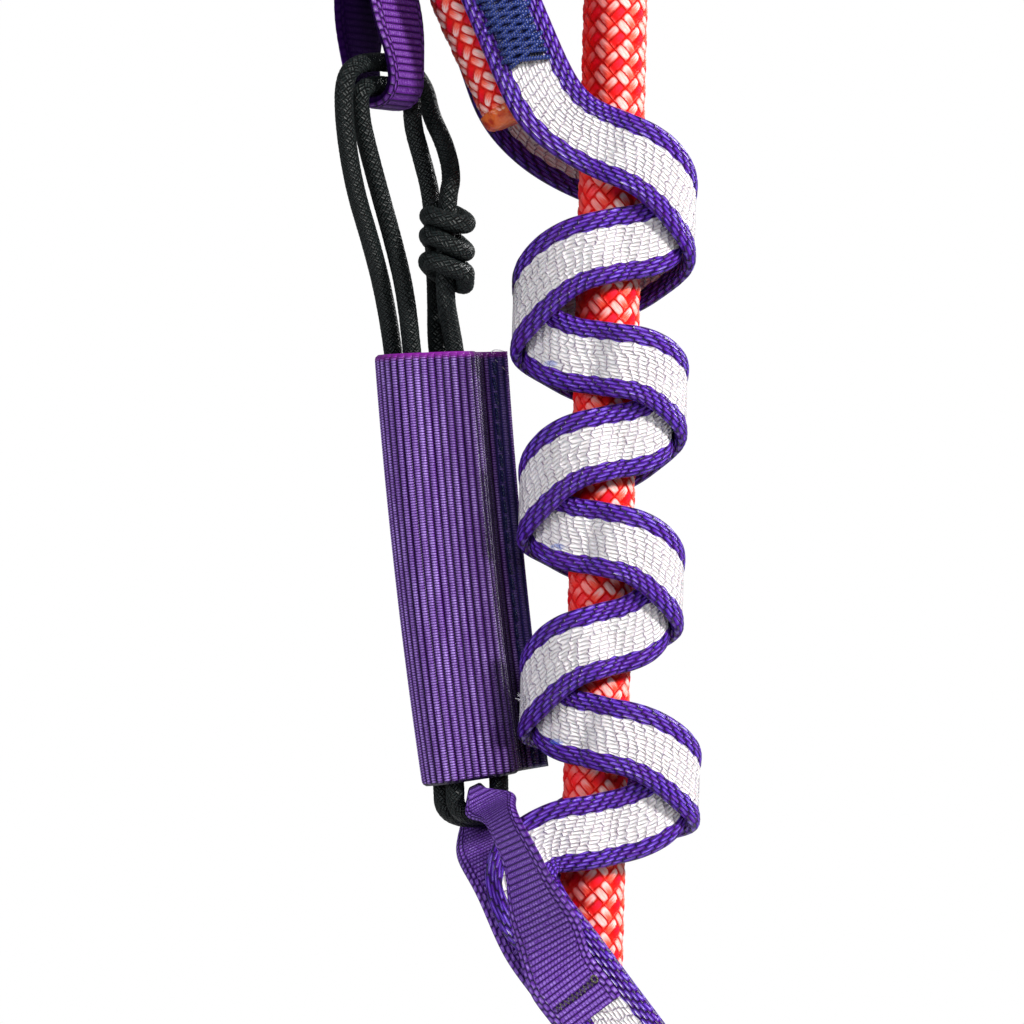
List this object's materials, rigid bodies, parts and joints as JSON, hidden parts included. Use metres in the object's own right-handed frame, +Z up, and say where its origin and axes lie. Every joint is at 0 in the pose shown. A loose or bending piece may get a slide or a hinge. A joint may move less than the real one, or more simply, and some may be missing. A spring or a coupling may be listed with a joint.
{
  "type": "climbing rope with friction hitch and sleeved cord tether",
  "caption": "Kernmantle climbing rope hung over in a bight, gripped by a braided webbing friction hitch, with a sleeved double cord tether between two slings.",
  "frame": {"origin": "centre of the rope's upper bight, where it hangs over its support", "axes": "+Z up along the hanging rope, +X from the tether towards the rope, -Y towards the viewer"},
  "size_m": [0.081, 0.0399, 0.2297],
  "materials": {
    "rope_sheath": "woven red and pale pink braid",
    "core_nylon": "twisted white filament yarn",
    "marker_yarn": "thin twisted yarn",
    "melted_sheath": "melted and set, uneven",
    "hitch_webbing": "white woven middle with violet cord-like borders",
    "violet_sling": "ribbed weave with a soft sheen",
    "black_cord": "fine braid",
    "blue_thread": "dense zigzag stitching",
    "olive_thread": "dense zigzag stitching",
    "navy_thread": "running stitches"
  },
  "bodies": {
    "rope": {"rope_sheath": "rope_sheath", "core_strand_01": "core_nylon", "core_strand_02": "core_nylon", "core_strand_03": "core_nylon", "core_strand_04": "core_nylon", "core_strand_05": "core_nylon", "core_strand_06": "core_nylon", "core_strand_07": "core_nylon", "core_strand_08": "core_nylon", "core_strand_09": "core_nylon", "core_strand_10": "core_nylon", "core_strand_11": "core_nylon", "core_strand_12": "core_nylon", "core_marker_yarn": "marker_yarn", "rope_tail_seal": "melted_sheath", "rope_end_seal": "melted_sheath"},
    "hitch": {"hitch_leg_front": "hitch_webbing", "hitch_leg_back": "hitch_webbing", "hitch_lower_eye": "hitch_webbing", "front_eye_tack": "blue_thread", "back_eye_tack": "blue_thread", "lower_sling": "violet_sling", "lower_sling_tack": "olive_thread"},
    "tether": {"cord_loop": "black_cord", "cord_knot": "black_cord"},
    "sleeve": {"sleeve": "violet_sling", "sleeve_seam_thread": "navy_thread"},
    "upper_sling": {"upper_sling": "violet_sling", "upper_sling_tack": "blue_thread"}
  },
  "joints": [
    {"name": "hitch_slide", "type": "slide", "parent": "rope", "child": "hitch", "axis": [0, 0, 1], "range_m": [-0.015, 0.004]},
    {"name": "tether_swing", "type": "hinge", "parent": "hitch", "child": "tether", "pos_m": [-0.0056, 0.0025, -0.124], "axis": [0, 1, 0], "range_deg": [-20, 0]},
    {"name": "sleeve_slide", "type": "slide", "parent": "tether", "child": "sleeve", "axis": [-0.1305, 0, 0.9914], "range_m": [0, 0.003]},
    {"name": "upper_sling_swing", "type": "hinge", "parent": "tether", "child": "upper_sling", "pos_m": [-0.0223, -0.0005, -0.017], "axis": [0.6157, 0.788, 0], "range_deg": [-25, 0]}
  ]
}
